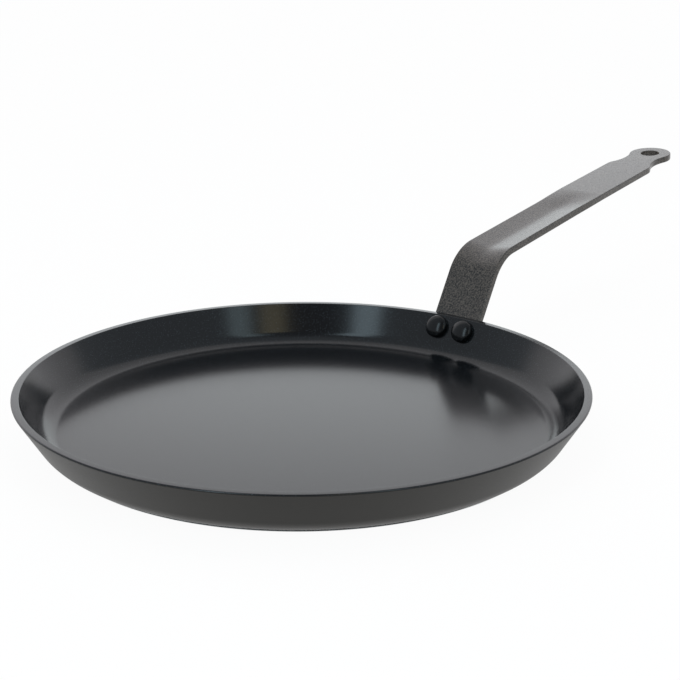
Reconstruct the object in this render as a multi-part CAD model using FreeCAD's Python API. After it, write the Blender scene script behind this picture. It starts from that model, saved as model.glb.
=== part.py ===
"""Crepe pan: a pressed aluminium pan with a steel strip handle held by two rivets.

Lengths are in millimetres and angles in degrees. The origin is the centre of the underside of the base,
+Z is up and the handle runs out along +X.
"""
import FreeCAD
import Part
import math
import os

from FreeCAD import Placement, Rotation, Vector

# Pan body: its wall thins downwards, so it is steeper inside; the rim is measured before it is rounded
rim_diameter = 300.0
pan_height = 26.3
rim_width = 4.6
base_thickness = 5.1
wall_slope = 58.0
inner_wall_slope = 61.6
base_corner_radius = 17.0
inner_corner_radius = 11.7
rim_outer_round = 0.7
rim_inner_round = 0.4

# Handle: the strip, its foot below the rim, its stem above the rim and its bend
strip_width = 31.0
strip_thickness = 4.1
foot_length = 18.5
foot_corner_radius = 5.0
stem_length = 26.6
bend_radius = 30.0

# Handle: the grip, its dish, which is a V with a rounded valley, and the runout that flattens the dish
grip_length = 113.2
grip_slope = 6.3
dish_depth = 2.3
valley_radius = 15.0
runout_length = 37.0

# Handle: the flat end; the insets of its tab and neck are measured from the sides of the strip
end_slope = 5.7
hole_reach = 98.4
hole_diameter = 12.5
tab_inset = 1.45
neck_inset = 4.35
neck_setback = 15.4
shoulder_radius = 12.8

# Rivets: a domed head inside the pan and a smaller set head on the foot
rivet_spacing = 18.1
rivet_drop = 10.1
shank_diameter = 6.0
shank_clearance = 0.1
head_diameter = 13.3
head_height = 4.8
head_crown_radius = 11.5
head_edge_round = 2.0
set_head_diameter = 10.5
set_head_height = 2.6
set_head_crown_radius = 12.0
set_head_edge_round = 0.9

# Construction: how far cutters run past what they cut, and how finely the lofts are stepped
overrun = 2.0
match_tolerance = 0.01
bend_steps = 8
runout_steps = 6

origin = Vector(0, 0, 0)
across = Vector(0, 1, 0)
up = Vector(0, 0, 1)
rim_radius = rim_diameter / 2
half_strip = strip_width / 2
sin_wall = math.sin(math.radians(wall_slope))
cos_wall = math.cos(math.radians(wall_slope))
inner_slope_angle = math.radians(inner_wall_slope)
wall_taper = math.radians(inner_wall_slope - wall_slope)

# Thickness of the wall square to its outside, where the rivets go through it
rim_thickness = rim_width * math.sin(inner_slope_angle)
rivet_wall = (rim_thickness - rivet_drop * math.sin(wall_taper)) / math.cos(wall_taper)

# Depth of the stem's own curve, where the strip leaves the cone of the wall for the bend
stem_dish = half_strip**2 * sin_wall / (2 * (rim_radius + stem_length * cos_wall))


def heading(slope):
    """Unit vector along the strip where it climbs at this slope."""
    return Vector(math.cos(math.radians(slope)), 0, math.sin(math.radians(slope)))


def upright(slope):
    """Unit vector out of the strip's top face where it climbs at this slope."""
    return Vector(-math.sin(math.radians(slope)), 0, math.cos(math.radians(slope)))


def station(point, slope):
    """Placement whose X runs along the strip, Y across it and Z out of its top face."""
    return Placement(point, Rotation(across, -slope))


def wall_point(rise):
    """Point on the line of the outer wall, this far up the slope from the rim."""
    return Vector(rim_radius, 0, pan_height) + heading(wall_slope) * rise


def bend_point(slope):
    """Point on the edge line of the bend's top face, where the strip climbs at this slope."""
    start = wall_point(stem_length) + upright(wall_slope) * stem_dish
    return start + (upright(slope) - upright(wall_slope)) * bend_radius


def grip_point(reach):
    """Point on the edge line of the grip's top face, this far past the bend."""
    return bend_point(grip_slope) + heading(grip_slope) * reach


def line(start, end):
    """Straight edge between two points."""
    return Part.LineSegment(start, end).toShape()


def arc(start, middle, end):
    """Round edge through three points."""
    return Part.Arc(start, middle, end).toShape()


def closed_wire(edges):
    """Closed wire from edges in any order."""
    return Part.Wire(Part.sortEdges(edges)[0])


def rounded_wire(corners):
    """Closed wire through corners given as (point, radius); a radius above zero rounds its corner."""
    edges = []
    last_end = None
    first_start = None
    for index, (point, radius) in enumerate(corners):
        back = (corners[index - 1][0] - point).normalize()
        ahead = (corners[(index + 1) % len(corners)][0] - point).normalize()
        half_angle = back.getAngle(ahead) / 2
        start = point + back * (radius / math.tan(half_angle))
        end = point + ahead * (radius / math.tan(half_angle))
        if radius > 0:
            inward = (back + ahead).normalize()
            middle = point + inward * (radius / math.sin(half_angle) - radius)
            edges.append(arc(start, middle, end))
        if last_end is None:
            first_start = start
        else:
            edges.append(line(last_end, start))
        last_end = end
    edges.append(line(last_end, first_start))
    return closed_wire(edges)


def pan_blank():
    """The pressed pan without its rivet holes, turned from the section of its sheet."""
    wall_run = pan_height * cos_wall / sin_wall
    inner_run = (pan_height - base_thickness) / math.tan(inner_slope_angle)
    section = rounded_wire([
        (origin, 0),
        (Vector(rim_radius - wall_run, 0, 0), base_corner_radius),
        (Vector(rim_radius, 0, pan_height), rim_outer_round),
        (Vector(rim_radius - rim_width, 0, pan_height), rim_inner_round),
        (Vector(rim_radius - rim_width - inner_run, 0, base_thickness), inner_corner_radius),
        (Vector(0, 0, base_thickness), 0),
    ])
    return Part.Face(section).revolve(origin, up, 360)


def half_chord(dish):
    """Half the width of the top face when the strip is dished this deep without being stretched."""
    return half_strip - (dish**2 * 2 / 3 + strip_thickness * dish) / half_strip


def valley(start, pole, end, weight):
    """Curved edge of a dish: even at weight 1, and closer to a V through its pole at a larger weight."""
    curve = Part.BezierCurve()
    curve.setPoles([start, pole, end])
    curve.setWeight(2, weight)
    return curve.toShape()


def strip_section(point, slope, dish, weight):
    """Cross-section of the dished strip, with the edges of its top face level with the point."""
    half = half_chord(dish)
    pole_per_depth = 1 + 1 / weight
    tilt = math.atan2(dish * pole_per_depth, half)
    low_half = half + strip_thickness * math.sin(tilt)
    low_edge = -strip_thickness * math.cos(tilt)
    top_pole = Vector(0, 0, -dish * pole_per_depth)
    low_pole = Vector(0, 0, -(dish + strip_thickness) * pole_per_depth - low_edge / weight)
    section = Part.Wire([
        valley(Vector(0, -half, 0), top_pole, Vector(0, half, 0), weight),
        line(Vector(0, half, 0), Vector(0, low_half, low_edge)),
        valley(Vector(0, low_half, low_edge), low_pole, Vector(0, -low_half, low_edge), weight),
        line(Vector(0, -low_half, low_edge), Vector(0, -half, 0)),
    ])
    section.Placement = station(point, slope)
    return section


def ease(share):
    """Smooth step from 0 to 1, level at both ends."""
    return share**2 * (3 - 2 * share)


def grip_weight():
    """Weight of the grip's dish that gives its valley the right radius."""
    return half_chord(dish_depth)**2 / (valley_radius * dish_depth) - 1


def foot_and_stem():
    """Lower part of the strip: it follows the cone of the wall, so the foot seats on the wall all over."""
    half = half_chord(stem_dish)
    outward = upright(wall_slope) * -strip_thickness
    low = wall_point(-foot_length - overrun)
    high = wall_point(stem_length + overrun)
    section = Part.Face(Part.makePolygon([low, high, high + outward, low + outward, low]))
    section.rotate(origin, up, -90)
    cone_shell = section.revolve(origin, up, 180)
    depth = strip_thickness + overrun
    blank = Part.makeBox(foot_length + stem_length, 2 * half, 2 * depth, Vector(0, -half, -depth))
    foot_corners = [
        edge for edge in blank.Edges
        if edge.BoundBox.XMax < match_tolerance and edge.BoundBox.YLength < match_tolerance
    ]
    blank = blank.makeFillet(foot_corner_radius, foot_corners)
    blank.Placement = station(wall_point(-foot_length), wall_slope)
    return blank.common(cone_shell)


def bend(stem):
    """Bend of the strip, where the curve of the stem deepens into the dish of the grip."""
    stem_end = max(stem.Faces, key=lambda face: face.CenterOfMass.dot(heading(wall_slope)))
    sections = [stem_end.OuterWire]
    for step in range(1, bend_steps + 1):
        share = step / bend_steps
        slope = wall_slope + (grip_slope - wall_slope) * share
        dish = stem_dish + (dish_depth - stem_dish) * ease(share)
        weight = 1 + (grip_weight() - 1) * ease(share)
        sections.append(strip_section(bend_point(slope), slope, dish, weight))
    return Part.makeLoft(sections, True, False)


def grip():
    """Straight, dished part of the grip."""
    ends = [0, grip_length - runout_length]
    sections = [strip_section(grip_point(reach), grip_slope, dish_depth, grip_weight()) for reach in ends]
    return Part.makeLoft(sections, True, True)


def runout():
    """Last part of the grip, where the dish flattens and the strip regains its full width."""
    sections = []
    for step in range(runout_steps + 1):
        share = step / runout_steps
        reach = grip_length - runout_length * (1 - share)
        slope = grip_slope + (end_slope - grip_slope) * ease(share)
        dish = dish_depth * (1 - ease(share))
        sections.append(strip_section(grip_point(reach), slope, dish, grip_weight()))
    return Part.makeLoft(sections, True, False)


def flat_end():
    """Flat end of the strip: straight sides, shoulders, neck and a round tab with the hanging hole."""
    tab_radius = half_strip - tab_inset
    half_neck = half_strip - neck_inset
    neck_reach = hole_reach - neck_setback
    neck_radius = (neck_setback**2 + half_neck**2 - tab_radius**2) / (2 * (tab_radius - half_neck))
    radii = neck_radius + shoulder_radius
    shoulder_reach = neck_reach - math.sqrt(radii**2 - (radii - neck_inset)**2)
    tab_centre = Vector(hole_reach, 0, 0)
    edges = [line(across * -half_strip, across * half_strip)]
    tab_starts = []
    for side in (across, -across):
        shoulder_start = Vector(shoulder_reach, 0, 0) + side * half_strip
        shoulder_centre = shoulder_start - side * shoulder_radius
        neck_middle = Vector(neck_reach, 0, 0) + side * half_neck
        neck_centre = neck_middle + side * neck_radius
        to_neck = (neck_centre - shoulder_centre).normalize()
        shoulder_middle = shoulder_centre + (to_neck + side).normalize() * shoulder_radius
        shoulder_end = shoulder_centre + to_neck * shoulder_radius
        tab_start = tab_centre + (neck_centre - tab_centre).normalize() * tab_radius
        edges.append(line(side * half_strip, shoulder_start))
        edges.append(arc(shoulder_start, shoulder_middle, shoulder_end))
        edges.append(arc(shoulder_end, neck_middle, tab_start))
        tab_starts.append(tab_start)
    edges.append(arc(tab_starts[0], Vector(hole_reach + tab_radius, 0, 0), tab_starts[1]))
    plate = Part.Face(closed_wire(edges)).extrude(up * -strip_thickness)
    drill_start = tab_centre - up * (strip_thickness + overrun)
    plate = plate.cut(Part.makeCylinder(hole_diameter / 2, strip_thickness + 2 * overrun, drill_start))
    plate.Placement = station(grip_point(grip_length), end_slope)
    return plate


def handle_blank():
    """The whole strip without its rivet holes, from the foot on the wall to the hanging tab."""
    stem = foot_and_stem()
    return stem.multiFuse([bend(stem), grip(), runout(), flat_end()]).removeSplitter()


def rivet_place(side):
    """Placement of a rivet, with its origin on the outer wall and its Z square to the wall, into the pan."""
    seat = wall_point(-rivet_drop)
    turn = math.degrees(math.asin(rivet_spacing / 2 / seat.x))
    lean = Placement(seat, Rotation(up, upright(wall_slope)))
    return Placement(origin, Rotation(up, side * turn)).multiply(lean)


def rivet_hole(side):
    """Drill for one rivet, through the wall and the foot."""
    start = up * -(strip_thickness + overrun)
    depth = rivet_wall + strip_thickness + 2 * overrun
    drill = Part.makeCylinder(shank_diameter / 2 + shank_clearance, depth, start)
    drill.Placement = rivet_place(side)
    return drill


def button(diameter, height, crown_radius, edge_round):
    """Domed rivet head standing on z = 0, with a stub below it that its seat is cut from."""
    blank = Part.makeCylinder(diameter / 2, height + overrun, up * -overrun)
    dome = blank.common(Part.makeSphere(crown_radius, up * (height - crown_radius)))
    rings = [edge for edge in dome.Edges if not edge.Degenerated]
    level_rings = [ring for ring in rings if ring.BoundBox.ZLength < match_tolerance]
    shoulder = max(level_rings, key=lambda ring: ring.BoundBox.ZMin)
    return dome.makeFillet(edge_round, [shoulder])


def rivet(side, pan, strip):
    """Solid rivet: its heads fit the curve of the wall inside the pan and of the foot outside it."""
    place = rivet_place(side)
    head = button(head_diameter, head_height, head_crown_radius, head_edge_round)
    head.Placement = place.multiply(Placement(up * rivet_wall, Rotation()))
    set_head = button(set_head_diameter, set_head_height, set_head_crown_radius, set_head_edge_round)
    set_head.Placement = place.multiply(Placement(up * -strip_thickness, Rotation(across, 180)))
    shank_low = -(strip_thickness + set_head_height / 2)
    shank_high = rivet_wall + head_height / 2
    shank = Part.makeCylinder(shank_diameter / 2, shank_high - shank_low, up * shank_low)
    shank.Placement = place
    return shank.multiFuse([head.cut(pan), set_head.cut(strip)]).removeSplitter()


pan = pan_blank()
strip = handle_blank()
sides = {"rivet_left": -1, "rivet_right": 1}
holes = [rivet_hole(side) for side in sides.values()]
nodes = {"pan_body": pan.cut(holes), "handle": strip.cut(holes)}
for name, side in sides.items():
    nodes[name] = rivet(side, pan, strip)

os.makedirs("parts", exist_ok=True)
for name, shape in nodes.items():
    shape.exportStep(f"parts/{name}.step")
    print(f"{name}: valid {shape.isValid()}, solids {len(shape.Solids)}, volume {shape.Volume:.1f} mm3")
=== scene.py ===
"""Crepe pan: coated pan, strip handle and rivets, lit and framed as in a product photograph.

Sizes are in millimetres and angles in degrees. Meshes are drawn in millimetres and end up in metres, in the
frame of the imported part: the origin is the centre of the underside of the base, +Z is up, and the handle runs
out along +X.
"""

import logging
import math
from collections.abc import Sequence
from dataclasses import dataclass, field
from enum import Enum
from typing import Any

import bmesh
import bpy
from bmesh.types import BMesh
from mathutils import Matrix, Vector


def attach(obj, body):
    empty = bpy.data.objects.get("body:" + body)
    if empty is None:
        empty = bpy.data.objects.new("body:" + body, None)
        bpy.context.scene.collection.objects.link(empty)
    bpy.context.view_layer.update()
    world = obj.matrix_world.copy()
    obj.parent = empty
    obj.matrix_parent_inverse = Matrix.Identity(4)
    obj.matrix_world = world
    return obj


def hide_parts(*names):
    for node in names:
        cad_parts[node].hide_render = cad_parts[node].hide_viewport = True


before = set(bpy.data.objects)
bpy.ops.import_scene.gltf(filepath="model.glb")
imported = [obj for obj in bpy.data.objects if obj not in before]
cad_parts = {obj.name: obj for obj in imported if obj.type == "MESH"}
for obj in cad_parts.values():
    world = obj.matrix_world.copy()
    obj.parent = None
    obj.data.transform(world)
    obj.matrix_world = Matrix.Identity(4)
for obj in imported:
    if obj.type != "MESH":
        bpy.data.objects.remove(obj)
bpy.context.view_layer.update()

MM = 0.001
ORIGIN = Vector((0, 0, 0))
ALONG = Vector((1, 0, 0))
ACROSS = Vector((0, 1, 0))
UP = Vector((0, 0, 1))
QUARTER_TURN = 90.0
WELD_DISTANCE = 0.002
SHARP_ANGLE = 40.0
DRILL_OVERREACH = 4.0
NOISE_MIDDLE = 0.5
SRGB_KNEE = 0.04045
SRGB_SLOPE = 12.92
SRGB_OFFSET = 0.055
SRGB_GAMMA = 2.4

log = logging.getLogger("crepe_pan")


class Slot(Enum):
    """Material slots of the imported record."""

    SHEET = "coated_sheet"
    STRIP = "coated_strip"
    RIVET = "coated_rivet"


class Side(Enum):
    """Sides of the handle, as the cook who holds it sees them."""

    LEFT = -1
    RIGHT = 1


class Skin(Enum):
    """Material indices of the pan body."""

    INSIDE = 0
    OUTSIDE = 1


def linear(colour: str) -> tuple[float, float, float, float]:
    """Turns an sRGB hex colour into linear light.

    Args:
        colour: Six hex digits after a #.

    Returns:
        Red, green and blue in linear light, and a full alpha.
    """
    channels = [int(colour[start:start + 2], 16) / 255 for start in (1, 3, 5)]
    red, green, blue = (
        c / SRGB_SLOPE if c <= SRGB_KNEE else ((c + SRGB_OFFSET) / (1 + SRGB_OFFSET)) ** SRGB_GAMMA
        for c in channels
    )
    return red, green, blue, 1.0


def add_node(
        tree: bpy.types.NodeTree, kind: str, settings: dict[str, Any], inputs: dict[Any, Any],
) -> bpy.types.Node:
    """Adds a node with its settings and its input values or links.

    Args:
        tree: Node tree that takes the node.
        kind: Blender's name of the node type.
        settings: Properties of the node.
        inputs: Value, or socket to link from, for each input by name or number.

    Returns:
        The new node.
    """
    node = tree.nodes.new(kind)
    for name, value in settings.items():
        setattr(node, name, value)
    for socket, value in inputs.items():
        if isinstance(value, bpy.types.NodeSocket):
            tree.links.new(value, node.inputs[socket])
        else:
            node.inputs[socket].default_value = value
    return node


def per_metre(size: float) -> float:
    """Texture scale that gives a pattern this size in millimetres."""
    return 1 / (size * MM)


def new_material(name: str) -> tuple[bpy.types.Material, bpy.types.NodeTree, bpy.types.NodeSocket]:
    """Starts a node material without nodes.

    Args:
        name: Name of the material.

    Returns:
        The material, its node tree and the socket of its Object coordinates.
    """
    material = bpy.data.materials.new(name)
    material.use_nodes = True
    material.node_tree.nodes.clear()
    place = add_node(material.node_tree, "ShaderNodeTexCoord", {}, {})
    return material, material.node_tree, place.outputs["Object"]


@dataclass(frozen=True)
class NonstickCoating:
    """Sprayed and baked black PTFE: nearly black and satin, so it mirrors bright surroundings at a low angle.

    Close by it shows pale flecks of pigment and the slight orange peel of the spray.
    """

    colour: str = "#0f1113"
    fleck_colour: str = "#3c4347"
    fleck_spacing: float = 1.0
    fleck_radius_share: float = 0.30
    peel_size: float = 3.0
    peel_height: float = 0.003
    peel_detail: float = 2.0
    roughness: float = 0.17
    roughness_spread: float = 0.02
    ior: float = 1.35

    def material(self) -> bpy.types.Material:
        """Makes the node material.

        Returns:
            The finished material.
        """
        material, tree, place = new_material("ptfe_nonstick_sprayed")
        cells = add_node(tree, "ShaderNodeTexVoronoi", {}, {
            "Vector": place, "Scale": per_metre(self.fleck_spacing)})
        fleck = add_node(tree, "ShaderNodeMapRange", {"interpolation_type": "SMOOTHSTEP"}, {
            "Value": cells.outputs["Distance"], "From Min": self.fleck_radius_share, "From Max": 0.0})
        tint = add_node(tree, "ShaderNodeMix", {"data_type": "RGBA"}, {
            "Factor": fleck.outputs["Result"], "A": linear(self.colour), "B": linear(self.fleck_colour)})
        peel = add_node(tree, "ShaderNodeTexNoise", {}, {
            "Vector": place, "Scale": per_metre(self.peel_size), "Detail": self.peel_detail})
        relief = add_node(tree, "ShaderNodeBump", {}, {
            "Height": peel.outputs["Fac"], "Distance": self.peel_height * MM, "Strength": 1.0})
        satin = add_node(tree, "ShaderNodeMapRange", {}, {
            "Value": peel.outputs["Fac"],
            "To Min": self.roughness - self.roughness_spread,
            "To Max": self.roughness + self.roughness_spread})
        surface = add_node(tree, "ShaderNodeBsdfPrincipled", {}, {
            "Base Color": tint.outputs["Result"], "Roughness": satin.outputs["Result"],
            "Normal": relief.outputs["Normal"], "IOR": self.ior})
        add_node(tree, "ShaderNodeOutputMaterial", {}, {"Surface": surface.outputs["BSDF"]})
        return material


@dataclass(frozen=True)
class StovePaint:
    """Baked heat-proof paint on the outside of the pan: dark grey and matt, with a fine dusty grain."""

    colour: str = "#0f0e0c"
    grain_colour: str = "#191815"
    grain_size: float = 0.9
    grain_height: float = 0.006
    grain_detail: float = 3.0
    sheen_colour: str = "#f9f7f2"
    roughness: float = 0.42
    roughness_spread: float = 0.05
    ior: float = 1.36

    def material(self) -> bpy.types.Material:
        """Makes the node material.

        Returns:
            The finished material.
        """
        material, tree, place = new_material("stove_paint_baked")
        grain = add_node(tree, "ShaderNodeTexNoise", {}, {
            "Vector": place, "Scale": per_metre(self.grain_size), "Detail": self.grain_detail})
        tint = add_node(tree, "ShaderNodeMix", {"data_type": "RGBA"}, {
            "Factor": grain.outputs["Fac"], "A": linear(self.colour), "B": linear(self.grain_colour)})
        relief = add_node(tree, "ShaderNodeBump", {}, {
            "Height": grain.outputs["Fac"], "Distance": self.grain_height * MM, "Strength": 1.0})
        matt = add_node(tree, "ShaderNodeMapRange", {}, {
            "Value": grain.outputs["Fac"],
            "To Min": self.roughness - self.roughness_spread,
            "To Max": self.roughness + self.roughness_spread})
        surface = add_node(tree, "ShaderNodeBsdfPrincipled", {}, {
            "Base Color": tint.outputs["Result"], "Roughness": matt.outputs["Result"],
            "Normal": relief.outputs["Normal"], "IOR": self.ior,
            "Specular Tint": linear(self.sheen_colour)})
        add_node(tree, "ShaderNodeOutputMaterial", {}, {"Surface": surface.outputs["BSDF"]})
        return material


@dataclass(frozen=True)
class PowderCoat:
    """Textured epoxy powder coat on the steel strip: mid grey, semi-matt and pebbled like fine leather.

    The real pebbles are about half as large; they are drawn this coarse so that they show in the picture.
    """

    colour: str = "#070606"
    pebble_colour: str = "#524b44"
    pebble_size: float = 0.95
    pebble_height: float = 0.045
    pebble_detail: float = 2.0
    contrast: float = 3.4
    roughness: float = 0.25
    roughness_spread: float = 0.06
    ior: float = 1.47

    def material(self) -> bpy.types.Material:
        """Makes the node material.

        Returns:
            The finished material.
        """
        material, tree, place = new_material("epoxy_powder_coat_textured")
        half_range = NOISE_MIDDLE / self.contrast
        pebbles = add_node(tree, "ShaderNodeTexNoise", {}, {
            "Vector": place, "Scale": per_metre(self.pebble_size), "Detail": self.pebble_detail})
        crisp = add_node(tree, "ShaderNodeMapRange", {}, {
            "Value": pebbles.outputs["Fac"],
            "From Min": NOISE_MIDDLE - half_range, "From Max": NOISE_MIDDLE + half_range})
        tint = add_node(tree, "ShaderNodeMix", {"data_type": "RGBA"}, {
            "Factor": crisp.outputs["Result"], "A": linear(self.colour), "B": linear(self.pebble_colour)})
        relief = add_node(tree, "ShaderNodeBump", {}, {
            "Height": pebbles.outputs["Fac"], "Distance": self.pebble_height * MM, "Strength": 1.0})
        sheen = add_node(tree, "ShaderNodeMapRange", {}, {
            "Value": pebbles.outputs["Fac"],
            "To Min": self.roughness + self.roughness_spread,
            "To Max": self.roughness - self.roughness_spread})
        surface = add_node(tree, "ShaderNodeBsdfPrincipled", {}, {
            "Base Color": tint.outputs["Result"], "Roughness": sheen.outputs["Result"],
            "Normal": relief.outputs["Normal"], "IOR": self.ior})
        add_node(tree, "ShaderNodeOutputMaterial", {}, {"Surface": surface.outputs["BSDF"]})
        return material


@dataclass(frozen=True)
class RivetEnamel:
    """Black enamel on the aluminium rivets: glossy, almost black, a little uneven from the setting tool."""

    colour: str = "#08090a"
    worn_colour: str = "#101213"
    dapple_size: float = 2.5
    dapple_height: float = 0.01
    dapple_detail: float = 2.0
    roughness: float = 0.18
    roughness_spread: float = 0.04
    ior: float = 1.31

    def material(self) -> bpy.types.Material:
        """Makes the node material.

        Returns:
            The finished material.
        """
        material, tree, place = new_material("black_enamel_on_aluminium")
        dapple = add_node(tree, "ShaderNodeTexNoise", {}, {
            "Vector": place, "Scale": per_metre(self.dapple_size), "Detail": self.dapple_detail})
        tint = add_node(tree, "ShaderNodeMix", {"data_type": "RGBA"}, {
            "Factor": dapple.outputs["Fac"], "A": linear(self.colour), "B": linear(self.worn_colour)})
        relief = add_node(tree, "ShaderNodeBump", {}, {
            "Height": dapple.outputs["Fac"], "Distance": self.dapple_height * MM, "Strength": 1.0})
        gloss = add_node(tree, "ShaderNodeMapRange", {}, {
            "Value": dapple.outputs["Fac"],
            "To Min": self.roughness - self.roughness_spread,
            "To Max": self.roughness + self.roughness_spread})
        surface = add_node(tree, "ShaderNodeBsdfPrincipled", {}, {
            "Base Color": tint.outputs["Result"], "Roughness": gloss.outputs["Result"],
            "Normal": relief.outputs["Normal"], "IOR": self.ior})
        add_node(tree, "ShaderNodeOutputMaterial", {}, {"Surface": surface.outputs["BSDF"]})
        return material


class OutlinePen:
    """Draws an outline in one plane: each stroke extrudes or spins the outline's last vertex."""

    def __init__(self, mesh: BMesh, start: Vector, axis: Vector) -> None:
        """Puts the pen down.

        Args:
            mesh: Mesh that takes the outline.
            start: First point of the outline.
            axis: Normal of the outline's plane.
        """
        self.mesh = mesh
        self.axis = axis
        self.tip = bmesh.ops.create_vert(mesh, co=start)["vert"][0]

    def line(self, end: Vector, steps: int = 1) -> None:
        """Draws a straight stroke.

        Args:
            end: Where the stroke ends.
            steps: Number of edges in it.
        """
        start = self.tip.co.copy()
        for step in range(1, steps + 1):
            self.tip = bmesh.ops.extrude_vert_indiv(self.mesh, verts=[self.tip])["verts"][0]
            self.tip.co = start.lerp(end, step / steps)

    def arc(self, centre: Vector, turn: float, steps: int) -> None:
        """Draws a round stroke.

        Args:
            centre: Centre of the arc.
            turn: Angle of the arc about the outline's axis.
            steps: Number of edges in it.
        """
        stroke = bmesh.ops.spin(
            self.mesh, geom=[self.tip], cent=centre, axis=self.axis, dvec=ORIGIN,
            angle=math.radians(turn), steps=steps, use_merge=False, use_duplicate=False)
        self.tip = stroke["geom_last"][0]

    def corner(self, point: Vector, radius: float, ahead: Vector, steps: int) -> None:
        """Draws up to a corner and round it.

        Args:
            point: The corner before it is rounded.
            radius: Radius of the rounding.
            ahead: A point on the line that follows the corner.
            steps: Number of edges in the rounding.
        """
        back = (self.tip.co - point).normalized()
        onward = (ahead - point).normalized()
        half_angle = back.angle(onward) / 2
        turn = math.degrees(math.pi - 2 * half_angle)
        side = math.copysign(1, self.axis.dot(onward.cross(back)))
        self.line(point + back * (radius / math.tan(half_angle)))
        self.arc(point + (back + onward).normalized() * (radius / math.sin(half_angle)), side * turn, steps)


def close_skin(mesh: BMesh) -> None:
    """Merges doubles and turns all faces outwards."""
    bmesh.ops.remove_doubles(mesh, verts=mesh.verts, dist=WELD_DISTANCE)
    bmesh.ops.recalc_face_normals(mesh, faces=mesh.faces)


def turn_outline(mesh: BMesh, steps: int) -> None:
    """Spins a drawn outline once round +Z into a closed skin.

    Args:
        mesh: Mesh that holds the outline, which starts and ends on the axis.
        steps: Number of faces in a full turn.
    """
    bmesh.ops.spin(
        mesh, geom=mesh.verts[:] + mesh.edges[:], cent=ORIGIN, axis=UP, dvec=ORIGIN,
        angle=math.tau, steps=steps, use_merge=True, use_duplicate=False)
    close_skin(mesh)


def drilled(blank: BMesh, drills: BMesh) -> BMesh:
    """Cuts holes through a solid.

    Args:
        blank: The solid, which is used up.
        drills: Closed cutters, which are used up.

    Returns:
        The solid with its holes.
    """
    pair = []
    for name, mesh in (("blank", blank), ("drills", drills)):
        data = bpy.data.meshes.new(name)
        mesh.to_mesh(data)
        mesh.free()
        pair.append(bpy.data.objects.new(name, data))
        bpy.context.scene.collection.objects.link(pair[-1])
    cut = pair[0].modifiers.new("holes", "BOOLEAN")
    cut.operation = "DIFFERENCE"
    cut.solver = "EXACT"
    cut.object = pair[1]
    result = bmesh.new()
    result.from_object(pair[0], bpy.context.evaluated_depsgraph_get())
    for helper in pair:
        bpy.data.meshes.remove(helper.data)
    return result


def make_piece(
        name: str, skin: BMesh, coats: Sequence[bpy.types.Material], node: str,
) -> bpy.types.Object:
    """Turns a finished skin into a piece that stands for a CAD node.

    Args:
        name: Name of the piece.
        skin: Closed mesh in millimetres, which is used up.
        coats: Materials by index.
        node: CAD node that the piece replaces.

    Returns:
        The new object.
    """
    for face in skin.faces:
        face.smooth = True
    for edge in skin.edges:
        edge.smooth = edge.calc_face_angle(0) < math.radians(SHARP_ANGLE)
    bmesh.ops.scale(skin, vec=(MM, MM, MM), verts=skin.verts)
    mesh = bpy.data.meshes.new(name)
    skin.to_mesh(mesh)
    skin.free()
    for coat in coats:
        mesh.materials.append(coat)
    piece = bpy.data.objects.new(name, mesh)
    bpy.context.scene.collection.objects.link(piece)
    even_shading = piece.modifiers.new("even_shading", "WEIGHTED_NORMAL")
    even_shading.keep_sharp = True
    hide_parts(node)
    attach(piece, "root")
    return piece


def heading(slope: float) -> Vector:
    """Unit vector along the strip where it climbs at this slope."""
    return Vector((math.cos(math.radians(slope)), 0, math.sin(math.radians(slope))))


def upright(slope: float) -> Vector:
    """Unit vector out of the strip's top face where it climbs at this slope."""
    return Vector((-math.sin(math.radians(slope)), 0, math.cos(math.radians(slope))))


def ease(share: float) -> float:
    """Smooth step from 0 to 1, level at both ends."""
    return share**2 * (3 - 2 * share)


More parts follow.
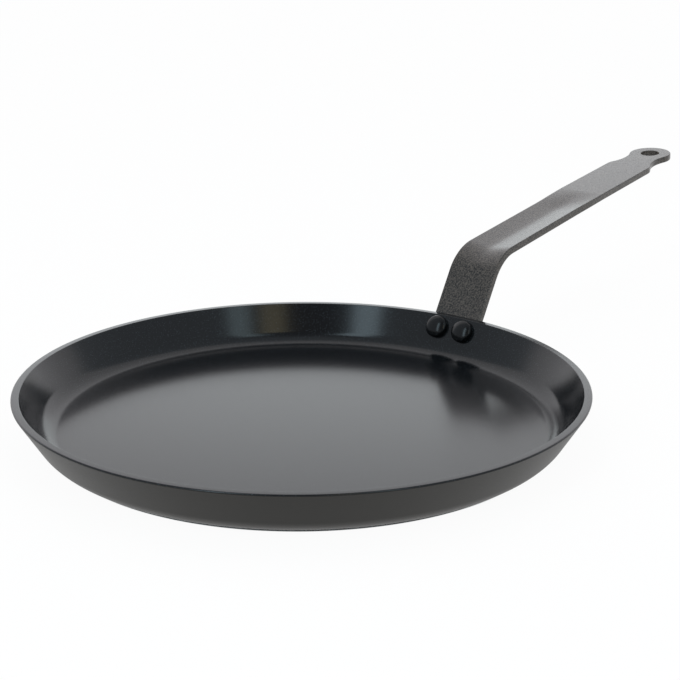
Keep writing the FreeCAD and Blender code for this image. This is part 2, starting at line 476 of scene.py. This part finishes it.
@dataclass
class PanBody:
    """The pressed pan, turned from the section of its sheet, with a hole for each rivet."""

    rim_diameter: float = 300.0
    height: float = 26.3
    rim_width: float = 4.6
    base_thickness: float = 5.1
    wall_slope: float = 58.0
    inner_wall_slope: float = 61.6
    base_corner_radius: float = 17.0
    inner_corner_radius: float = 11.7
    rim_outer_round: float = 0.7
    rim_inner_round: float = 0.4
    turn_steps: int = 288
    corner_steps: int = 14
    rim_steps: int = 4
    floor_rings: int = 6
    last_ring_setback: float = 34.0

    @property
    def rim_radius(self) -> float:
        """Radius of the rim before its edge is rounded."""
        return self.rim_diameter / 2

    @property
    def wall_sine(self) -> float:
        """Sine of the wall's slope."""
        return math.sin(math.radians(self.wall_slope))

    @property
    def wall_cosine(self) -> float:
        """Cosine of the wall's slope."""
        return math.cos(math.radians(self.wall_slope))

    @property
    def wall_taper(self) -> float:
        """Angle in radians by which the inner wall is steeper than the outer one."""
        return math.radians(self.inner_wall_slope - self.wall_slope)

    def wall_thickness(self, drop: float) -> float:
        """Thickness of the wall square to its outside, this far down the slope from the rim."""
        rim_thickness = self.rim_width * math.sin(math.radians(self.inner_wall_slope))
        return (rim_thickness - drop * math.sin(self.wall_taper)) / math.cos(self.wall_taper)

    def wall_point(self, rise: float) -> Vector:
        """Point on the line of the outer wall, this far up the slope from the rim."""
        return Vector((self.rim_radius, 0, self.height)) + heading(self.wall_slope) * rise

    def draw_section(self, mesh: BMesh) -> None:
        """Draws the section of the sheet, from the underside of the base round the rim to the cooking floor.

        Args:
            mesh: Mesh that takes the section.
        """
        inner_rim = self.rim_radius - self.rim_width
        inner_run = (self.height - self.base_thickness) / math.tan(math.radians(self.inner_wall_slope))
        floor = Vector((0, 0, self.base_thickness))
        outer_foot = Vector((self.rim_radius - self.height * self.wall_cosine / self.wall_sine, 0, 0))
        outer_edge = Vector((self.rim_radius, 0, self.height))
        inner_edge = Vector((inner_rim, 0, self.height))
        inner_foot = floor + ALONG * (inner_rim - inner_run)
        pen = OutlinePen(mesh, ORIGIN, ACROSS)
        pen.line(outer_foot - ALONG * self.last_ring_setback, self.floor_rings)
        pen.corner(outer_foot, self.base_corner_radius, outer_edge, self.corner_steps)
        pen.corner(outer_edge, self.rim_outer_round, inner_edge, self.rim_steps)
        pen.corner(inner_edge, self.rim_inner_round, inner_foot, self.rim_steps)
        pen.corner(inner_foot, self.inner_corner_radius, floor, self.corner_steps)
        pen.line(floor, self.floor_rings)

    def build(self, drills: BMesh) -> BMesh:
        """Makes the pan's skin.

        Args:
            drills: Cutters for the rivet holes.

        Returns:
            The closed skin, with its inside and outside told apart.
        """
        mesh = bmesh.new()
        self.draw_section(mesh)
        turn_outline(mesh, self.turn_steps)
        mesh = drilled(mesh, drills)
        for face in mesh.faces:
            face.material_index = Skin.INSIDE.value if face.normal.z > 0 else Skin.OUTSIDE.value
        return mesh

    def dress(self, skin: BMesh) -> bpy.types.Object:
        """Gives the skin its two coats and stands it in for the CAD pan."""
        coats = [NonstickCoating().material(), StovePaint().material()]
        return make_piece("finished_pan_body", skin, coats, "pan_body")


@dataclass
class StripHandle:
    """The handle: a flat blank cut from strip steel, pressed to its curve, then given its thickness."""

    pan: PanBody
    width: float = 31.0
    thickness: float = 4.1
    foot_length: float = 18.5
    foot_corner_radius: float = 5.0
    stem_length: float = 26.6
    bend_radius: float = 30.0
    grip_length: float = 113.2
    grip_slope: float = 6.3
    dish_depth: float = 2.3
    valley_radius: float = 15.0
    runout_length: float = 37.0
    end_slope: float = 5.7
    hole_reach: float = 98.4
    hole_diameter: float = 12.5
    tab_inset: float = 1.45
    neck_inset: float = 4.35
    neck_setback: float = 15.4
    shoulder_radius: float = 12.8
    edge_round: float = 0.5
    edge_steps: int = 3
    arc_steps: int = 12
    hole_steps: int = 64
    stem_steps: int = 4
    bend_steps: int = 24
    runout_steps: int = 16
    dish_columns: int = 24

    @property
    def half_width(self) -> float:
        """Half the width of the flat blank."""
        return self.width / 2

    @property
    def bend_length(self) -> float:
        """Length of the bend along the edges of its top face."""
        return self.bend_radius * math.radians(self.pan.wall_slope - self.grip_slope)

    @property
    def grip_start(self) -> float:
        """Where the grip starts along the blank."""
        return self.stem_length + self.bend_length

    @property
    def end_start(self) -> float:
        """Where the flat end starts along the blank."""
        return self.grip_start + self.grip_length

    @property
    def grip_weight(self) -> float:
        """Weight of the grip's dish that gives its valley the right radius."""
        return self.half_chord(self.dish_depth) ** 2 / (self.valley_radius * self.dish_depth) - 1

    def stem_dish(self, run: float) -> float:
        """Depth of the strip's curve where it follows the cone of the wall."""
        cone_radius = self.pan.rim_radius + run * self.pan.wall_cosine
        return self.half_width**2 * self.pan.wall_sine / (2 * cone_radius)

    def half_chord(self, dish: float) -> float:
        """Half the width of the top face when the strip is dished this deep without being stretched."""
        return self.half_width - (dish**2 * 2 / 3 + self.thickness * dish) / self.half_width

    def bend_point(self, slope: float) -> Vector:
        """Finds a point level with the edges of the bend's top face.

        Args:
            slope: Slope at which the strip climbs there.

        Returns:
            The point, on the handle's middle plane.
        """
        wall = upright(self.pan.wall_slope)
        start = self.pan.wall_point(self.stem_length) + wall * self.stem_dish(self.stem_length)
        return start + (upright(slope) - wall) * self.bend_radius

    def grip_point(self, reach: float) -> Vector:
        """Point level with the edges of the grip's top face, this far past the bend."""
        return self.bend_point(self.grip_slope) + heading(self.grip_slope) * reach

    def station(self, run: float) -> tuple[Vector, float, float, float]:
        """Finds how the strip lies at a distance along it.

        Args:
            run: Distance along the blank, from the rim towards the hanging hole.

        Returns:
            Point level with the edges of the top face, slope, depth of the dish, and the dish's weight: an
            even curve at 1, and closer to a V the larger it is.
        """
        if run <= self.stem_length:
            dish = self.stem_dish(run)
            level = self.pan.wall_point(run) + upright(self.pan.wall_slope) * dish
            return level, self.pan.wall_slope, dish, 1.0
        if run <= self.grip_start:
            share = (run - self.stem_length) / self.bend_length
            start_dish = self.stem_dish(self.stem_length)
            slope = self.pan.wall_slope + (self.grip_slope - self.pan.wall_slope) * share
            dish = start_dish + (self.dish_depth - start_dish) * ease(share)
            return self.bend_point(slope), slope, dish, 1 + (self.grip_weight - 1) * ease(share)
        reach = min(run - self.grip_start, self.grip_length)
        flatness = ease(max(0.0, 1 - (self.grip_length - reach) / self.runout_length))
        slope = self.grip_slope + (self.end_slope - self.grip_slope) * flatness
        past_grip = heading(self.end_slope) * max(0.0, run - self.end_start)
        return self.grip_point(reach) + past_grip, slope, self.dish_depth * (1 - flatness), self.grip_weight

    def pressed(self, point: Vector) -> Vector:
        """Moves a point of the flat blank to its place on the strip's top face.

        Args:
            point: Distance along the blank and across it.

        Returns:
            The point after pressing.
        """
        level, slope, dish, weight = self.station(point.x)
        share = point.y / self.half_width
        rise = share**2 * (1 + weight) / (1 + math.sqrt(1 + (weight**2 - 1) * share**2))
        return level + ACROSS * (share * self.half_chord(dish)) + upright(slope) * (dish * (rise - 1))

    def draw_half_blank(self, mesh: BMesh) -> None:
        """Draws one half of the blank's outline, from the foot to the tip of the tab.

        Args:
            mesh: Mesh that takes the outline.
        """
        side = ACROSS * self.half_width
        foot = ALONG * -self.foot_length
        tab_centre = ALONG * (self.end_start + self.hole_reach)
        tab_radius = self.half_width - self.tab_inset
        half_neck = self.half_width - self.neck_inset
        neck_gap = tab_radius - half_neck
        neck_radius = (self.neck_setback**2 + half_neck**2 - tab_radius**2) / (2 * neck_gap)
        radii = neck_radius + self.shoulder_radius
        shoulder_run = math.sqrt(radii**2 - (radii - self.neck_inset) ** 2)
        neck_centre = tab_centre - ALONG * self.neck_setback + ACROSS * (half_neck + neck_radius)
        shoulder_start = neck_centre.copy()
        shoulder_start.x -= shoulder_run
        shoulder_start.y = self.half_width
        shoulder_turn = math.degrees(math.asin(shoulder_run / radii))
        tab_lean = math.degrees(math.asin(self.neck_setback / (tab_radius + neck_radius)))
        pen = OutlinePen(mesh, foot, UP)
        pen.corner(foot + side, self.foot_corner_radius, side, self.arc_steps)
        pen.line(shoulder_start)
        pen.arc(shoulder_start - ACROSS * self.shoulder_radius, -shoulder_turn, self.arc_steps)
        pen.arc(neck_centre, shoulder_turn + tab_lean, self.arc_steps)
        pen.arc(tab_centre, -QUARTER_TURN - tab_lean, 2 * self.arc_steps)

    def cut_stations(self, mesh: BMesh) -> None:
        """Cuts the blank across where it bends, and along where it is dished.

        Args:
            mesh: Mesh that holds the blank as one face.
        """
        spans = [
            (0.0, self.stem_length, self.stem_steps),
            (self.stem_length, self.grip_start, self.bend_steps),
            (self.grip_start, self.end_start - self.runout_length, self.stem_steps),
            (self.end_start - self.runout_length, self.end_start, self.runout_steps),
        ]
        runs = [start + (end - start) * step / steps for start, end, steps in spans for step in range(steps)]
        for run in (*runs, self.end_start):
            parts = [*mesh.verts, *mesh.edges, *mesh.faces]
            bmesh.ops.bisect_plane(mesh, geom=parts, plane_co=ALONG * run, plane_no=ALONG)
        for column in range(1, self.dish_columns):
            dished = [face for face in mesh.faces if face.calc_center_median().x < self.end_start]
            dished_parts = {part for face in dished for part in (*face.verts, *face.edges, face)}
            place = ACROSS * (self.width * column / self.dish_columns - self.half_width)
            bmesh.ops.bisect_plane(mesh, geom=list(dished_parts), plane_co=place, plane_no=ACROSS)

    def build(self, rivet_drills: BMesh) -> BMesh:
        """Makes the strip's skin.

        Args:
            rivet_drills: Cutters for the rivet holes.

        Returns:
            The closed skin, with its edges rounded.
        """
        mesh = bmesh.new()
        self.draw_half_blank(mesh)
        bmesh.ops.mirror(
            mesh, geom=[*mesh.verts, *mesh.edges], matrix=Matrix.Identity(4), merge_dist=WELD_DISTANCE,
            axis="Y")
        bmesh.ops.contextual_create(mesh, geom=mesh.edges[:])
        bmesh.ops.recalc_face_normals(mesh, faces=mesh.faces)
        self.cut_stations(mesh)
        for vertex in mesh.verts:
            vertex.co = self.pressed(vertex.co)
        mesh.normal_update()
        bmesh.ops.solidify(mesh, geom=mesh.faces[:], thickness=-self.thickness)
        close_skin(mesh)
        mesh = drilled(mesh, self.hanging_drill())
        edges = [edge for edge in mesh.edges if edge.calc_face_angle(0) > math.radians(SHARP_ANGLE)]
        bmesh.ops.bevel(
            mesh, geom=edges, offset=self.edge_round, offset_type="OFFSET", affect="EDGES",
            segments=self.edge_steps, profile=0.5, material=-1)
        return drilled(mesh, rivet_drills)

    def hanging_drill(self) -> BMesh:
        """Makes the cutter for the hanging hole, square to the flat end.

        Returns:
            The closed cutter.
        """
        drill = bmesh.new()
        level, slope, _, _ = self.station(self.end_start + self.hole_reach)
        place = Matrix.Translation(level) @ Matrix.Rotation(math.radians(-slope), 4, "Y")
        bmesh.ops.create_cone(
            drill, cap_ends=True, segments=self.hole_steps, radius1=self.hole_diameter / 2,
            radius2=self.hole_diameter / 2, depth=DRILL_OVERREACH * self.thickness, matrix=place)
        return drill

    def dress(self, skin: BMesh) -> bpy.types.Object:
        """Powder-coats the skin and stands it in for the CAD handle."""
        return make_piece("finished_handle", skin, [PowderCoat().material()], "handle")


@dataclass
class Rivet:
    """A solid rivet: a domed head inside the pan, a shank, and a smaller set head on the handle's foot."""

    pan: PanBody
    handle: StripHandle
    side: Side
    spacing: float = 18.1
    drop: float = 10.1
    shank_diameter: float = 6.0
    shank_clearance: float = 0.1
    head_diameter: float = 13.3
    head_height: float = 4.8
    head_crown_radius: float = 11.5
    head_edge_round: float = 2.0
    set_head_diameter: float = 10.5
    set_head_height: float = 2.6
    set_head_crown_radius: float = 12.0
    set_head_edge_round: float = 0.9
    turn_steps: int = 64
    crown_steps: int = 12
    round_steps: int = 8

    @property
    def name(self) -> str:
        """Name of the CAD node that this rivet stands for."""
        return f"rivet_{self.side.name.lower()}"

    @property
    def seat_height(self) -> float:
        """Height of the head's seat above the outer wall."""
        return self.pan.wall_thickness(self.drop)

    def place(self) -> Matrix:
        """Finds where the rivet sits.

        Returns:
            Placement on the outer wall, with Z square to the wall and into the pan.
        """
        seat = self.pan.wall_point(-self.drop)
        turn = math.asin(self.spacing / 2 / seat.x)
        lean = Matrix.Rotation(math.radians(-self.pan.wall_slope), 4, "Y")
        return Matrix.Rotation(self.side.value * turn, 4, "Z") @ Matrix.Translation(seat) @ lean

    def drill(self, mesh: BMesh) -> None:
        """Adds the cutter for this rivet's hole through the wall and the foot.

        Args:
            mesh: Mesh that takes the cutter.
        """
        radius = self.shank_diameter / 2 + self.shank_clearance
        depth = DRILL_OVERREACH * (self.seat_height + self.handle.thickness)
        bmesh.ops.create_cone(
            mesh, cap_ends=True, segments=self.turn_steps, radius1=radius, radius2=radius, depth=depth,
            matrix=self.place())

    def draw_section(self, mesh: BMesh) -> None:
        """Draws half the rivet's section, from the top of its head to the bottom of its set head.

        Args:
            mesh: Mesh that takes the section.
        """
        upper_seat = UP * self.seat_height
        lower_seat = UP * -self.handle.thickness
        shank = ALONG * (self.shank_diameter / 2)
        head = ALONG * (self.head_diameter / 2)
        set_head = ALONG * (self.set_head_diameter / 2)
        crown_centre = upper_seat + UP * (self.head_height - self.head_crown_radius)
        crown_turn, round_centre = self.shoulder(
            self.head_diameter, self.head_crown_radius, self.head_edge_round)
        pen = OutlinePen(mesh, upper_seat + UP * self.head_height, ACROSS)
        pen.arc(crown_centre, crown_turn, self.crown_steps)
        pen.arc(crown_centre + round_centre, QUARTER_TURN - crown_turn, self.round_steps)
        pen.line(upper_seat + head)
        pen.line(upper_seat + shank)
        pen.line(lower_seat + shank)
        pen.line(lower_seat + set_head)
        crown_centre = lower_seat - UP * (self.set_head_height - self.set_head_crown_radius)
        crown_turn, round_centre = self.shoulder(
            self.set_head_diameter, self.set_head_crown_radius, self.set_head_edge_round)
        round_centre.z *= -1
        pen.line(crown_centre + round_centre + ALONG * self.set_head_edge_round)
        pen.arc(crown_centre + round_centre, QUARTER_TURN - crown_turn, self.round_steps)
        pen.arc(crown_centre, crown_turn, self.crown_steps)

    def shoulder(self, diameter: float, crown_radius: float, edge_round: float) -> tuple[float, Vector]:
        """Finds the rounding between a head's crown and its side.

        Args:
            diameter: Diameter of the head.
            crown_radius: Radius of its crown.
            edge_round: Radius of the rounding.

        Returns:
            Angle of the crown up to the rounding, and the rounding's centre from the crown's centre.
        """
        offset = diameter / 2 - edge_round
        height = math.sqrt((crown_radius - edge_round) ** 2 - offset**2)
        return math.degrees(math.atan2(offset, height)), Vector((offset, 0, height))

    def build(self) -> BMesh:
        """Makes the rivet's skin.

        Returns:
            The closed skin, with both heads seated on the curve of the wall and of the foot.
        """
        mesh = bmesh.new()
        self.draw_section(mesh)
        turn_outline(mesh, self.turn_steps)
        cone_radius = self.pan.wall_point(-self.drop).x
        for vertex in mesh.verts:
            on_wall = abs(vertex.co.z - self.seat_height) < WELD_DISTANCE
            on_foot = abs(vertex.co.z + self.handle.thickness) < WELD_DISTANCE
            if on_wall:
                vertex.co.z += vertex.co.x * math.tan(self.pan.wall_taper)
            if on_wall or on_foot:
                vertex.co.z += vertex.co.y**2 * self.pan.wall_sine / (2 * cone_radius)
        bmesh.ops.transform(mesh, matrix=self.place(), verts=mesh.verts)
        return mesh

    def dress(self, skin: BMesh, coat: bpy.types.Material) -> bpy.types.Object:
        """Enamels the skin and stands it in for the CAD rivet."""
        return make_piece(f"finished_{self.name}", skin, [coat], self.name)


def bearing(backwards: Vector, azimuth: float, elevation: float) -> Vector:
    """Finds a direction as the pan sees it.

    Args:
        backwards: Level unit vector away from the camera.
        azimuth: Zero behind the pan, growing to the right of the photograph.
        elevation: Angle above the floor.

    Returns:
        Unit vector in that direction.
    """
    level = Matrix.Rotation(math.radians(-azimuth), 3, "Z") @ backwards
    return level * math.cos(math.radians(elevation)) + UP * math.sin(math.radians(elevation))


@dataclass(frozen=True)
class Glow:
    """A soft round patch of the studio's dome that adds to its light, or takes from it if below zero."""

    azimuth: float
    elevation: float
    full: float
    faded: float
    radiance: float
    colour: str = "#ffffff"

    def build(
            self, tree: bpy.types.NodeTree, sight: bpy.types.NodeSocket, backwards: Vector,
    ) -> bpy.types.NodeSocket:
        """Adds the patch's nodes.

        Args:
            tree: Node tree of the dome.
            sight: Direction in which the dome is seen.
            backwards: Level unit vector away from the camera.

        Returns:
            What the patch adds in the direction of sight.
        """
        centre = bearing(backwards, self.azimuth, self.elevation)
        facing = add_node(tree, "ShaderNodeVectorMath", {"operation": "DOT_PRODUCT"}, {0: sight, 1: centre})
        patch = add_node(tree, "ShaderNodeMapRange", {"interpolation_type": "SMOOTHSTEP"}, {
            "Value": facing.outputs["Value"], "From Min": math.cos(math.radians(self.faded)),
            "From Max": math.cos(math.radians(self.full)), "To Max": self.radiance})
        tint = add_node(tree, "ShaderNodeVectorMath", {"operation": "SCALE"}, {
            0: linear(self.colour)[:3], "Scale": patch.outputs["Result"]})
        return tint.outputs["Vector"]


@dataclass(frozen=True)
class Panel:
    """An upright screen behind the pan, as wide to the left as to the right, that adds to the dome."""

    half_width: float
    blur: float
    full_height: float
    radiance: float
    colour: str = "#ffffff"

    def build(
            self, tree: bpy.types.NodeTree, sight: bpy.types.NodeSocket, backwards: Vector,
    ) -> bpy.types.NodeSocket:
        """Adds the screen's nodes.

        Args:
            tree: Node tree of the dome.
            sight: Direction in which the dome is seen.
            backwards: Level unit vector away from the camera.

        Returns:
            What the screen adds in the direction of sight.
        """
        right, back, up = (
            add_node(tree, "ShaderNodeVectorMath", {"operation": "DOT_PRODUCT"}, {0: sight, 1: axis})
            for axis in (backwards.cross(UP), backwards, UP)
        )
        azimuth = add_node(tree, "ShaderNodeMath", {"operation": "ARCTAN2"}, {
            0: right.outputs["Value"], 1: back.outputs["Value"]})
        turn = add_node(tree, "ShaderNodeMath", {"operation": "ABSOLUTE"}, {0: azimuth.outputs["Value"]})
        wide = add_node(tree, "ShaderNodeMapRange", {"interpolation_type": "SMOOTHSTEP"}, {
            "Value": turn.outputs["Value"], "From Min": math.radians(self.half_width + self.blur),
            "From Max": math.radians(self.half_width - self.blur), "To Max": self.radiance})
        tall = add_node(tree, "ShaderNodeMapRange", {"interpolation_type": "SMOOTHSTEP"}, {
            "Value": up.outputs["Value"], "From Min": 1.0,
            "From Max": math.sin(math.radians(self.full_height))})
        both = add_node(tree, "ShaderNodeMath", {"operation": "MULTIPLY"}, {
            0: wide.outputs["Result"], 1: tall.outputs["Result"]})
        tint = add_node(tree, "ShaderNodeVectorMath", {"operation": "SCALE"}, {
            0: linear(self.colour)[:3], "Scale": both.outputs["Value"]})
        return tint.outputs["Vector"]


@dataclass(frozen=True)
class Softbox:
    """An oblong lamp that faces the pan."""

    name: str
    azimuth: float
    elevation: float
    distance: float
    width: float
    length: float
    radiance: float
    colour: str = "#ffffff"

    def build(self, backwards: Vector) -> None:
        """Adds the lamp.

        Args:
            backwards: Level unit vector away from the camera.
        """
        towards = bearing(backwards, self.azimuth, self.elevation)
        lamp = bpy.data.lights.new(self.name, "AREA")
        lamp.shape = "RECTANGLE"
        lamp.size = self.width * MM
        lamp.size_y = self.length * MM
        lamp.energy = self.radiance * math.pi * lamp.size * lamp.size_y
        lamp.color = linear(self.colour)[:3]
        holder = bpy.data.objects.new(self.name, lamp)
        holder.location = towards * self.distance * MM
        holder.rotation_euler = (-towards).to_track_quat("-Z", "Y").to_euler()
        bpy.context.scene.collection.objects.link(holder)


@dataclass
class Studio:
    """A white floor under a soft dome, bright behind the pan and dim behind the camera, and softboxes."""

    view_azimuth: float = -53.4
    view_elevation: float = 17.614
    view_distance: float = 989.0
    aim: Vector = field(default_factory=lambda: Vector((136.0, 76.7, -0.06)))
    lens: float = 84.706
    floor_radius: float = 9000.0
    cove_radius: float = 600.0
    cove_height: float = 400.0
    floor_drop: float = 0.05
    floor_colour: str = "#f2f2f0"
    floor_lift: float = 0.95
    contact_radius: float = 129.0
    contact_fade: float = 0.6
    dome_radiance: float = 0.82
    dome_colour: str = "#eef6ff"
    panel: Panel = Panel(half_width=62.0, blur=5.0, full_height=70.0, radiance=0.68, colour="#fff4f0")
    glows: tuple[Glow, ...] = (
        Glow(azimuth=0.0, elevation=0.0, full=19.0, faded=24.0, radiance=0.5, colour="#eaffff"),
        Glow(azimuth=180.0, elevation=42.0, full=12.0, faded=40.0, radiance=-0.55, colour="#e8f6ff"),
    )
    softboxes: tuple[Softbox, ...] = (
        Softbox(
            "front_left_strip", azimuth=-147.0, elevation=38.0, distance=1600.0, width=300.0, length=1490.0,
            radiance=4.8, colour="#d8f2ff"),
        Softbox(
            "front_right_strip", azimuth=145.0, elevation=38.0, distance=1600.0, width=240.0, length=1490.0,
            radiance=2.7, colour="#daf6ff"),
        Softbox(
            "warm_reflector", azimuth=163.0, elevation=37.0, distance=1600.0, width=270.0, length=600.0,
            radiance=2.0, colour="#fff0c0"),
    )
    turn_steps: int = 96
    cove_steps: int = 12

    def towards_camera(self) -> Vector:
        """Finds where the camera stands.

        Returns:
            Unit vector from the aim to the camera.
        """
        azimuth = math.radians(self.view_azimuth)
        level = Vector((math.sin(azimuth), -math.cos(azimuth), 0))
        elevation = math.radians(self.view_elevation)
        return level * math.cos(elevation) + UP * math.sin(elevation)

    def backwards(self) -> Vector:
        """Finds which way is behind the pan.

        Returns:
            Level unit vector away from the camera.
        """
        away = -self.towards_camera()
        away.z = 0
        return away.normalized()

    def add_camera(self) -> None:
        """Adds the camera at the photograph's viewing angle."""
        camera = bpy.data.objects.new("camera", bpy.data.cameras.new("camera"))
        camera.data.lens = self.lens
        camera.location = (self.aim + self.towards_camera() * self.view_distance) * MM
        camera.rotation_euler = (-self.towards_camera()).to_track_quat("-Z", "Y").to_euler()
        bpy.context.scene.collection.objects.link(camera)
        bpy.context.scene.camera = camera

    def floor_material(self) -> bpy.types.Material:
        """Makes white paper with a trace of the pan's shadow, which is full where the pan touches it.

        Returns:
            The finished material.
        """
        material, tree, place = new_material("white_paper")
        path = add_node(tree, "ShaderNodeLightPath", {}, {})
        radius = add_node(tree, "ShaderNodeVectorMath", {"operation": "LENGTH"}, {0: place})
        clear = add_node(tree, "ShaderNodeMapRange", {"interpolation_type": "SMOOTHSTEP"}, {
            "Value": radius.outputs["Value"], "From Min": self.contact_radius * MM,
            "From Max": (self.contact_radius + self.contact_fade) * MM, "To Max": self.floor_lift})
        seen = add_node(tree, "ShaderNodeMath", {"operation": "MAXIMUM"}, {
            0: path.outputs["Is Camera Ray"], 1: path.outputs["Is Glossy Ray"]})
        shown = add_node(tree, "ShaderNodeMath", {"operation": "MAXIMUM"}, {
            0: seen.outputs["Value"], 1: path.outputs["Is Transmission Ray"]})
        lift = add_node(tree, "ShaderNodeMath", {"operation": "MULTIPLY"}, {
            0: shown.outputs["Value"], 1: clear.outputs["Result"]})
        paper = add_node(tree, "ShaderNodeBsdfDiffuse", {}, {"Color": linear(self.floor_colour)})
        white = add_node(tree, "ShaderNodeEmission", {}, {"Strength": 1.0})
        mixed = add_node(tree, "ShaderNodeMixShader", {}, {
            0: lift.outputs["Value"], 1: paper.outputs["BSDF"], 2: white.outputs["Emission"]})
        add_node(tree, "ShaderNodeOutputMaterial", {}, {"Surface": mixed.outputs["Shader"]})
        return material

    def add_floor(self) -> None:
        """Adds the floor, which curves up into a low cove far from the pan."""
        mesh = bmesh.new()
        centre = UP * -self.floor_drop
        cove_foot = centre + ALONG * self.floor_radius
        cove_top = cove_foot + UP * (self.cove_radius + self.cove_height)
        pen = OutlinePen(mesh, centre, ACROSS)
        pen.corner(cove_foot, self.cove_radius, cove_top, self.cove_steps)
        turn_outline(mesh, self.turn_steps)
        for face in mesh.faces:
            face.smooth = True
        bmesh.ops.scale(mesh, vec=(MM, MM, MM), verts=mesh.verts)
        data = bpy.data.meshes.new("studio_floor")
        mesh.to_mesh(data)
        mesh.free()
        data.materials.append(self.floor_material())
        floor = bpy.data.objects.new("studio_floor", data)
        bpy.context.scene.collection.objects.link(floor)

    def add_dome(self) -> None:
        """Adds the dome as the world's light: bright backdrop, pale sides, dark patch at the camera."""
        world = bpy.data.worlds.new("studio_dome")
        world.use_nodes = True
        tree = world.node_tree
        tree.nodes.clear()
        sight = add_node(tree, "ShaderNodeTexCoord", {}, {}).outputs["Generated"]
        light: Vector | bpy.types.NodeSocket = Vector(linear(self.dome_colour)[:3]) * self.dome_radiance
        for source in (self.panel, *self.glows):
            patch = source.build(tree, sight, self.backwards())
            total = add_node(tree, "ShaderNodeVectorMath", {"operation": "ADD"}, {0: light, 1: patch})
            light = total.outputs["Vector"]
        sky = add_node(tree, "ShaderNodeBackground", {}, {"Color": light, "Strength": 1.0})
        add_node(tree, "ShaderNodeOutputWorld", {}, {"Surface": sky.outputs["Background"]})
        bpy.context.scene.world = world

    def build(self) -> None:
        """Sets up the whole studio."""
        bpy.context.scene.view_settings.view_transform = "Standard"
        self.add_camera()
        self.add_floor()
        self.add_dome()
        for softbox in self.softboxes:
            softbox.build(self.backwards())


def main() -> None:
    """Builds the pan, the handle, the rivets and the studio in order."""
    logging.basicConfig(level=logging.INFO, format="%(name)s: %(message)s")
    Studio().build()
    pan = PanBody()
    handle = StripHandle(pan)
    rivets = [Rivet(pan, handle, side) for side in Side]
    drills = bmesh.new()
    for rivet in rivets:
        rivet.drill(drills)
    pieces = [pan.dress(pan.build(drills.copy())), handle.dress(handle.build(drills))]
    enamel = RivetEnamel().material()
    pieces += [rivet.dress(rivet.build(), enamel) for rivet in rivets]
    for piece in pieces:
        log.info("%s: %d faces", piece.name, len(piece.data.polygons))


if __name__ == "__main__":
    main()
